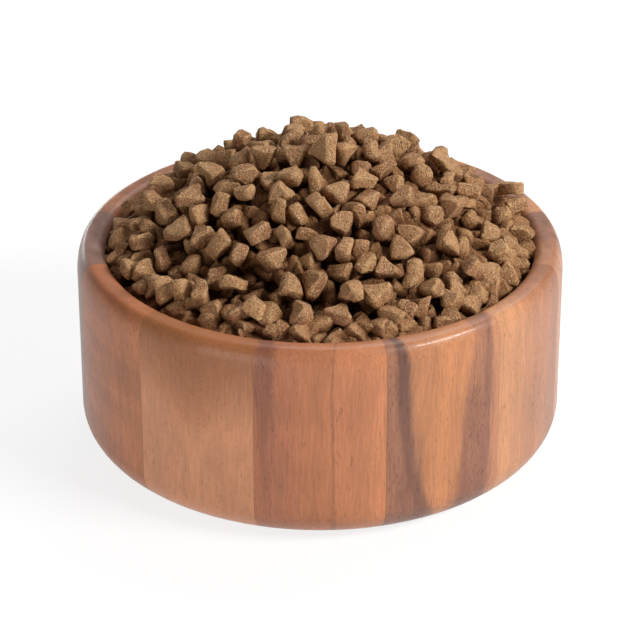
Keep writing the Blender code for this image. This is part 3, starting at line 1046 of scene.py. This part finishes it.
def add_streaks(tree, colour, x, height, wander, uneven, fibres, streaks):
    """The colour with the streaks laid over it, and how much of a streak each point has."""
    streaked = 0.0
    for at_rim, halfway, at_foot, rim_half, foot_half, streak_colour, strengths, soft in streaks:
        line = through(tree, height, at_rim, halfway, at_foot)
        half_width = calculate(tree, "MULTIPLY_ADD", height, rim_half - foot_half, foot_half)
        aside = calculate(tree, "ABSOLUTE", calculate(
            tree, "SUBTRACT", calculate(tree, "MULTIPLY_ADD", wander, STREAK_WANDER, x), line))
        ragged = calculate(
            tree, "MULTIPLY_ADD", calculate(tree, "SUBTRACT", uneven, 0.5), STREAK_BY_RINGS,
            calculate(tree, "DIVIDE", aside, half_width))
        ragged = calculate(
            tree, "MULTIPLY_ADD", calculate(tree, "SUBTRACT", fibres, 0.5), STREAK_BY_FIBRES, ragged)
        share = calculate(tree, "MULTIPLY", fade(tree, ragged, 1.0 + soft, 1.0 - soft), calculate(
            tree, "MULTIPLY_ADD", height, strengths[0] - strengths[1], strengths[1]))
        colour = blend(tree, share, colour, from_screen(*streak_colour))
        streaked = calculate(tree, "MAXIMUM", share, streaked)
    return colour, streaked

# %% [markdown]
# The pores are fine open tubes, cut along their length. They crowd in the early part of a ring and
# in the streaks. A fine noise that is drawn out along the grain makes them, wherever it is higher
# than a limit.

# %% Pores
PORE_LIMIT = 0.745
PORE_EDGE = 0.085
PORES_BY_BOARD = 0.05
PORES_BY_CROWD = 0.16
PORES_BY_RING = 0.045
PORES_BY_STREAK = 0.05
PORE_SHADE = -0.26


def open_pores(tree, grain, within, streaked, pores):
    """Where the wood's pores are cut open."""
    fine = pattern(tree, grain, "pores")
    crowd = calculate(
        tree, "MULTIPLY_ADD", pattern(tree, grain, "crowds of pores"), PORES_BY_CROWD,
        fade(tree, within, 0.5, 0.0, 0.0, PORES_BY_RING))
    crowd = calculate(tree, "MULTIPLY_ADD", streaked, PORES_BY_STREAK, crowd)
    limit = PORE_LIMIT - PORES_BY_BOARD * pores
    return fade(tree, calculate(tree, "ADD", fine, crowd), limit, limit + PORE_EDGE)

# %% [markdown]
# The stave's material puts these together. The wood is oiled and has a thin lacquer, so it has a
# soft sheen with a weak, sharper one over it. The pores are a little rougher and lie deeper.

# %% The wood of one stave
FIBRE_SHARES = {"short fibres": 0.045, "long fibres": 0.09}
LEFT_BLEND = (-24.0, 0.0)
RIGHT_BLEND = (2.0, 26.0)


def stave_wood(index, tones, rings, arch=0.0, vee=0.0, contrast=0.15, bands=0.3, curl=0.0, pores=0.5,
               painted_rim_shade=0.0, streaks=()):
    """One stave's material.

    tones: its colour at the left joint, in the middle and at the right joint.
    rings: the ring centre across and inwards, and the width of a ring. arch moves that centre
    outwards with height, which bends the rings into arches.
    vee: how far the grain spreads to both sides with height. curl: how strong its level waves are.
    dusk: how far the wood below the rim takes on the tone of PAINTED_RIM_SHADE, which is painted shade.
    streaks: each has its places at the rim, half way and at the foot, its half widths at the rim
    and at the foot, a colour, its strengths at the rim and at the foot, and how soft its edge is.
    """
    material, tree, shader = new_material(f"acacia_{index + 1:02d}")
    board, grain, (x, y, z), bent_x, wander = lay_grain(tree, index, vee)
    uneven, within, late_wood = growth_rings(tree, grain, (bent_x, y, z), rings, arch)
    mottle = pattern(tree, grain, "mottle")
    fibre_kind = "short fibres" if vee else "long fibres"
    fibres = pattern(tree, grain, fibre_kind)
    shade = grain_shade(
        tree, board, grain, late_wood, mottle, fibres, FIBRE_SHARES[fibre_kind], contrast, bands, curl)

    left, middle, right = (from_screen(*tone) for tone in tones)
    colour = blend(tree, fade(tree, bent_x, *LEFT_BLEND), left, middle)
    colour = blend(tree, fade(tree, bent_x, *RIGHT_BLEND), colour, right)
    height = calculate(tree, "DIVIDE", z, MM * BOWL_HEIGHT)
    if painted_rim_shade:
        colour = add_painted_rim_shade(tree, colour, x, height, mottle, painted_rim_shade)
    colour, streaked = add_streaks(tree, colour, x, height, wander, uneven, fibres, streaks)
    pore = open_pores(tree, grain, within, streaked, pores)
    shade = calculate(tree, "MULTIPLY_ADD", pore, PORE_SHADE, shade)
    grey = add_node(tree, "ShaderNodeCombineColor", {"Red": shade, "Green": shade, "Blue": shade}).outputs[0]
    tree.links.new(blend(tree, 1.0, colour, grey, "MULTIPLY"), shader.inputs["Base Color"])

    roughness = calculate(tree, "MULTIPLY_ADD", pore, 0.2, fade(tree, fibres, *MIDDLE, 0.40, 0.50))
    tree.links.new(roughness, shader.inputs["Roughness"])
    shader.inputs["Specular IOR Level"].default_value = 0.35
    shader.inputs["Coat Weight"].default_value = 0.18
    shader.inputs["Coat Roughness"].default_value = 0.13
    relief = calculate(tree, "MULTIPLY_ADD", pore, -1.0, calculate(tree, "MULTIPLY", fibres, 0.35))
    bump = add_node(tree, "ShaderNodeBump", {"Height": relief, "Strength": 0.25, "Distance": 0.0002})
    tree.links.new(bump.outputs[0], shader.inputs["Normal"])
    return material

# %% [markdown]
# The boards go round the bowl as in the photograph, counter-clockwise from the front as seen from
# above. Places and widths in the streaks are in millimetres. The staves at the back can't be seen,
# and take the same kinds of wood.

# %% Give each stave its wood
STREAK = (90, 62, 56)
BROWN = (138, 92, 70)
MAUVE = (150, 102, 82)
boards = [
    # the front: reddish, mauve at its left
    dict(tones=((187, 117, 84), (191, 122, 84), (202, 131, 90)), rings=(-70.0, -240.0, 9.0), contrast=0.08,
         bands=0.12, pores=0.1, streaks=[
             (5.0, 5.6, 5.0, 0.5, 1.0, (140, 90, 66), (0.35, 0.5), 0.5),
             (-20.5, -22.0, -22.0, 4.2, 1.5, (136, 84, 62), (0.85, 0.0), 0.6),
             (-20.0, -20.0, -17.0, 3.0, 9.0, MAUVE, (0.10, 0.3), 0.8)]),
    # right of the front: orange, with a dark streak and a brown band
    dict(tones=((180, 121, 84), (199, 132, 88), (190, 130, 94)), rings=(90.0, -220.0, 8.0), contrast=0.08,
         bands=0.12, pores=0.5, streaks=[
             (-23.5, -20.5, -15.0, 4.0, 11.0, MAUVE, (0.55, 1.0), 0.4),
             (17.5, 14.5, 12.5, 4.0, 8.0, (130, 86, 70), (0.55, 0.9), 0.8),
             (21.5, 19.5, 18.5, 1.6, 2.6, (124, 82, 68), (0.5, 0.6), 0.7),
             (13.5, 9.5, 7.5, 0.9, 1.6, (134, 88, 70), (0.2, 0.5), 0.8),
             (-19.8, -17.2, -6.8, 1.7, 3.6, STREAK, (0.80, 0.30), 0.6)]),
    # the right side: pale, then mauve round to the back
    dict(tones=((206, 145, 102), (183, 125, 91), (160, 106, 76)), rings=(120.0, -200.0, 7.0), contrast=0.08,
         bands=0.12, pores=0.6),
    dict(tones=((190, 132, 96), (174, 121, 91), (158, 114, 94)), rings=(40.0, -190.0, 8.0), contrast=0.15,
         bands=0.4, pores=0.4, streaks=[(2.0, 7.0, 10.0, 4.0, 6.0, (134, 96, 84), (0.6, 0.6), 0.6)]),
    # the back
    dict(tones=((212, 150, 106), (164, 118, 98), (172, 122, 96)), rings=(-60.0, -220.0, 9.0), contrast=0.15,
         bands=0.3, pores=0.5),
    dict(tones=((198, 134, 94), (204, 138, 96), (184, 122, 88)), rings=(80.0, -230.0, 8.0), contrast=0.14,
         bands=0.25, pores=0.6),
    dict(tones=((184, 122, 90), (202, 138, 98), (194, 130, 94)), rings=(20.0, -130.0, 7.0), arch=0.4,
         contrast=0.18, bands=0.2, pores=0.5),
    dict(tones=((202, 138, 98), (208, 142, 98), (188, 126, 90)), rings=(60.0, -240.0, 9.0), contrast=0.14,
         bands=0.25, pores=0.6, streaks=[(-12.0, -9.0, -8.0, 4.0, 6.0, BROWN, (0.7, 0.7), 0.6)]),
    dict(tones=((186, 124, 92), (204, 134, 98), (206, 138, 100)), rings=(-100.0, -210.0, 8.0), contrast=0.14,
         bands=0.25, pores=0.5),
    # the left side: mauve, seen at the rim
    dict(tones=((164, 120, 102), (158, 118, 103), (148, 106, 90)), rings=(70.0, -200.0, 7.0), contrast=0.12,
         bands=0.25, pores=0.4),
    # The tones of the next two boards are raised a little to make up for the weaker light on the bowl's left,
    # which is painted light over their own colour.
    # far left of the front: brown with level waves
    dict(tones=((184, 109, 66), (190, 116, 74), (192, 120, 77)), rings=(-12.0, -118.0, 6.0), arch=0.45,
         contrast=0.06, bands=0.08, curl=0.09, pores=0.3),
    # left of the front: pale, with the V and painted shade below the rim
    dict(tones=((228, 158, 116), (228, 157, 114), (220, 151, 111)), rings=(0.0, -128.0, 6.5), vee=0.5,
         contrast=0.03, bands=0.06, pores=0.25, painted_rim_shade=1.0),
]
for index, item in enumerate(staves):
    item.data.materials.clear()
    item.data.materials.append(stave_wood(index, **boards[index % len(boards)]))
panel = nodes["base_panel"]
panel.data.materials.clear()
panel.data.materials.append(stave_wood(
    STAVES, ((164, 112, 80), (170, 116, 82), (160, 106, 76)), (20.0, -60.0, 7.0)))
print("wood materials:", len(staves) + 1)

# %% [markdown]
# ## Kibble
#
# Kibble is baked meal: a sandy, matt surface full of tiny pale and dark grains, crumbs and pits. Each
# one has browned a little more or less than its neighbour, which a random number for each loose
# body of the mesh gives, and is redder in one place and yellower in another. The cut faces are paler.
# The edges are paler too, partly from wear and partly as a painted highlight, and the palest grains
# are whitened into painted glints. Where a kibble lies deep, its colour turns warmer and dark, which
# is painted shade. Relief comes from bump, on the scales of the grains, crumbs and pits. The tones
# are listed below as a screen shows them, in the order in which they are laid over each other.

# %% The kibble's material
KIBBLE_TONES = {
    "light bake": (218, 165, 115), "dark bake": (168, 116, 77), "red bake": (184, 127, 96),
    "blotch": (148, 100, 67), "red tint": (180, 114, 84), "yellow tint": (200, 160, 98),
    # The edge tone on the next line is partly wear and partly a painted highlight.
    "cut face": (214, 165, 117), "edge wear and highlight": (226, 178, 126), "dark crumb": (106, 62, 34),
    # The pale grain tone on the next line is also whitened into painted glints.
    "dark grain": (96, 56, 30), "pale crumb": (226, 186, 138), "pale grain and glint": (248, 220, 176),
    # The hollow tone on the next line is painted shade deep between the kibbles.
    "pit": (70, 42, 26), "hollow": (48, 22, 6),
}
# Warms the colour where kibbles lie deep, before it darkens: painted shade.
PAINTED_SHADE_WARMTH = (1.0, 0.80, 0.60, 1.0)
# Each pattern's shift in millimetres, its spots per millimetre, its detail and its roughness.
FOOD_PATTERNS = {
    "crumbs": ((0.0, 0.0, 0.0), 0.8, 3.0, 0.7),
    "grains": ((31.0, 17.0, 5.0), 1.5, 2.0, 0.7),
    "tint": ((9.0, 47.0, 23.0), 0.45, 3.0, 0.6),
    "blotches": ((0.0, 0.0, 0.0), 0.3, 2.0, 0.5),
}
PITS_PER_MM = 0.45
PIT_REACH = (0.26, 0.10)


def food_pattern(tree, place, name):
    """One of the patterns, as a number from 0 to 1."""
    shift, fineness, detail, roughness = FOOD_PATTERNS[name]
    return noise(tree, mapped(tree, place, location=shift), fineness, detail, roughness)


def bake(tree, place, cut, deep, crumbs, grains, pit):
    """The colour of the kibbles, built up in layers of tone, with painted shade where they lie deep."""
    chance = tree.nodes.new("ShaderNodeNewGeometry").outputs["Random Per Island"]
    other_chance = calculate(tree, "FRACT", calculate(tree, "MULTIPLY", chance, 7.0))
    tint = food_pattern(tree, place, "tint")
    blotches = food_pattern(tree, place, "blotches")
    # Edges paler, partly from wear and partly as a painted highlight.
    edge_wear_and_highlight = calculate(tree, "MULTIPLY", cut, calculate(tree, "SUBTRACT", 1.0, cut))

    baked = from_screen(*KIBBLE_TONES["light bake"])
    for share, tone in (
            (chance, "dark bake"),
            (fade(tree, other_chance, 0.3, 1.0, 0.0, 0.5), "red bake"),
            (fade(tree, blotches, 0.35, 0.65, 0.0, 0.4), "blotch"),
            (fade(tree, tint, 0.46, 0.30, 0.0, 0.5), "red tint"),
            (fade(tree, tint, 0.54, 0.70, 0.0, 0.5), "yellow tint"),
            (calculate(tree, "MULTIPLY", cut, 0.35), "cut face"),
            (calculate(tree, "MULTIPLY", edge_wear_and_highlight, 1.8), "edge wear and highlight"),
            (fade(tree, crumbs, 0.42, 0.28, 0.0, 0.45), "dark crumb"),
            (fade(tree, grains, 0.43, 0.33, 0.0, 0.5), "dark grain"),
            (fade(tree, crumbs, 0.54, 0.70, 0.0, 0.5), "pale crumb"),
            # Palest grains, partly real and partly painted glints.
            (fade(tree, grains, 0.56, 0.66, 0.0, 0.8), "pale grain and glint"),
            (calculate(tree, "MULTIPLY", pit, 0.3), "pit")):
        baked = blend(tree, share, baked, from_screen(*KIBBLE_TONES[tone]))
    # Where kibbles lie deep: painted shade, first warmer, then dark.
    baked = blend(tree, deep, baked, PAINTED_SHADE_WARMTH, "MULTIPLY")
    return blend(tree, calculate(tree, "MULTIPLY", deep, 0.88), baked, from_screen(*KIBBLE_TONES["hollow"]))


def kibble_food():
    material, tree, shader = new_material("kibble_food")
    place = mapped(tree, object_place(tree), scale=(MM, MM, MM))
    cut = add_node(tree, "ShaderNodeAttribute", {}, attribute_name="cut").outputs["Fac"]
    # How deep each point lies, for the painted shade.
    deep = add_node(tree, "ShaderNodeAttribute", {}, attribute_name="deep").outputs["Fac"]
    crumbs = food_pattern(tree, place, "crumbs")
    grains = food_pattern(tree, place, "grains")
    to_pit = add_node(
        tree, "ShaderNodeTexVoronoi", {"Vector": place, "Scale": PITS_PER_MM}, feature="F1").outputs[0]
    pit = fade(tree, to_pit, *PIT_REACH)
    tree.links.new(bake(tree, place, cut, deep, crumbs, grains, pit), shader.inputs["Base Color"])
    shader.inputs["Roughness"].default_value = 0.80
    shader.inputs["Specular IOR Level"].default_value = 0.15
    relief = calculate(tree, "MULTIPLY_ADD", pit, -0.3, calculate(
        tree, "MULTIPLY_ADD", crumbs, 1.0, calculate(tree, "MULTIPLY", grains, 0.8)))
    bump = add_node(tree, "ShaderNodeBump", {"Height": relief, "Strength": 1.0, "Distance": 0.0014})
    tree.links.new(bump.outputs[0], shader.inputs["Normal"])
    return material


food = kibble_food()
for item in (heap, loose, core):
    item.data.materials.clear()
    item.data.materials.append(food)
print("kibble material on", heap.name, loose.name, core.name)

# %% [markdown]
# ## Floor and light
#
# The bowl stands on a plain white floor. The floor takes light like any surface, and so keeps the
# bowl's shadow. What is missing to a white background is added as a glow that only the camera and
# reflections see, so that it puts no light on the bowl.

# %% Floor
FLOOR_SIDE = 8.0
FLOOR_TONE = (0.80, 0.80, 0.80, 1.0)
FLOOR_TONE_SEEN = (0.24, 0.24, 0.24, 1.0)
FLOOR_GLOW_SEEN = 0.82
WHITE = (1.0, 1.0, 1.0, 1.0)

deselect_all()
bpy.ops.mesh.primitive_plane_add(size=FLOOR_SIDE, location=(0.0, 0.0, 0.0))
floor = bpy.context.object
floor.name = floor.data.name = "studio_floor"
floor_material, tree, shader = new_material("studio_floor")
shader.inputs["Roughness"].default_value = 0.9
shader.inputs["Specular IOR Level"].default_value = 0.0
rays = tree.nodes.new("ShaderNodeLightPath")
seen = calculate(tree, "MAXIMUM", rays.outputs["Is Camera Ray"], rays.outputs["Is Glossy Ray"])
shader.inputs["Emission Color"].default_value = WHITE
tree.links.new(calculate(tree, "MULTIPLY", seen, FLOOR_GLOW_SEEN), shader.inputs["Emission Strength"])
tree.links.new(blend(tree, seen, FLOOR_TONE, FLOOR_TONE_SEEN), shader.inputs["Base Color"])
floor.data.materials.append(floor_material)
print("floor:", FLOOR_SIDE, "m on a side")

# %% [markdown]
# The key light is a long, soft lamp above, to the right and a little in front. It leaves the left
# faces of the kibbles and the left side of the rim dark, and draws the white line along the rim.
# A weak lamp high at the back lights the far rim. Two low ones, in front and at the back, work like
# the white cards that a photographer stands by a bowl to light its wall, and a pale world fills the
# shadows.

# %% Lights
# Each lamp's name, place in metres, width, height and power in watts.
LAMPS = [
    ("key", (1.20, -0.63, 0.98), 0.75, 0.25, 25.5),
    ("back", (0.30, 0.80, 1.15), 0.9, 0.9, 8.0),
    ("front card", (-0.50, -0.70, 0.02), 0.5, 0.5, 2.6),
    ("back card", (-0.40, 0.76, 0.02), 0.5, 0.5, 3.2),
]
WORLD_STRENGTH = 0.11


def add_lamp(name, place, wide, high, power):
    lamp_data = bpy.data.lights.new(name, "AREA")
    lamp_data.shape = "RECTANGLE"
    lamp_data.size = wide
    lamp_data.size_y = high
    lamp_data.energy = power
    lamp = bpy.data.objects.new(name, lamp_data)
    bpy.context.scene.collection.objects.link(lamp)
    lamp.location = Vector(place)
    lamp.rotation_euler = (target - lamp.location).to_track_quat("-Z", "Y").to_euler()


for lamp_row in LAMPS:
    add_lamp(*lamp_row)
world = bpy.data.worlds.new("studio")
bpy.context.scene.world = world
world.use_nodes = True
sky = world.node_tree.nodes["Background"]
sky.inputs["Color"].default_value = WHITE
sky.inputs["Strength"].default_value = WORLD_STRENGTH
bpy.context.scene.view_settings.view_transform = "Standard"
print("lamps:", len(LAMPS))

# %% [markdown]
# ## What each piece stands for
#
# Each new piece rides on the part's one body, and the imported nodes that it stands for are hidden.

# %% Tie the pieces to the part
for index, item in enumerate(staves):
    node = f"stave_{index + 1:02d}"
    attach(item, "root")
    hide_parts(node)
for item in (heap, loose, core):
    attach(item, "root")
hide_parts("kibble_heap")
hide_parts("kibble_heap")
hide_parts(*loose_nodes)
print("pieces:", len(staves) + 3, "on one body")
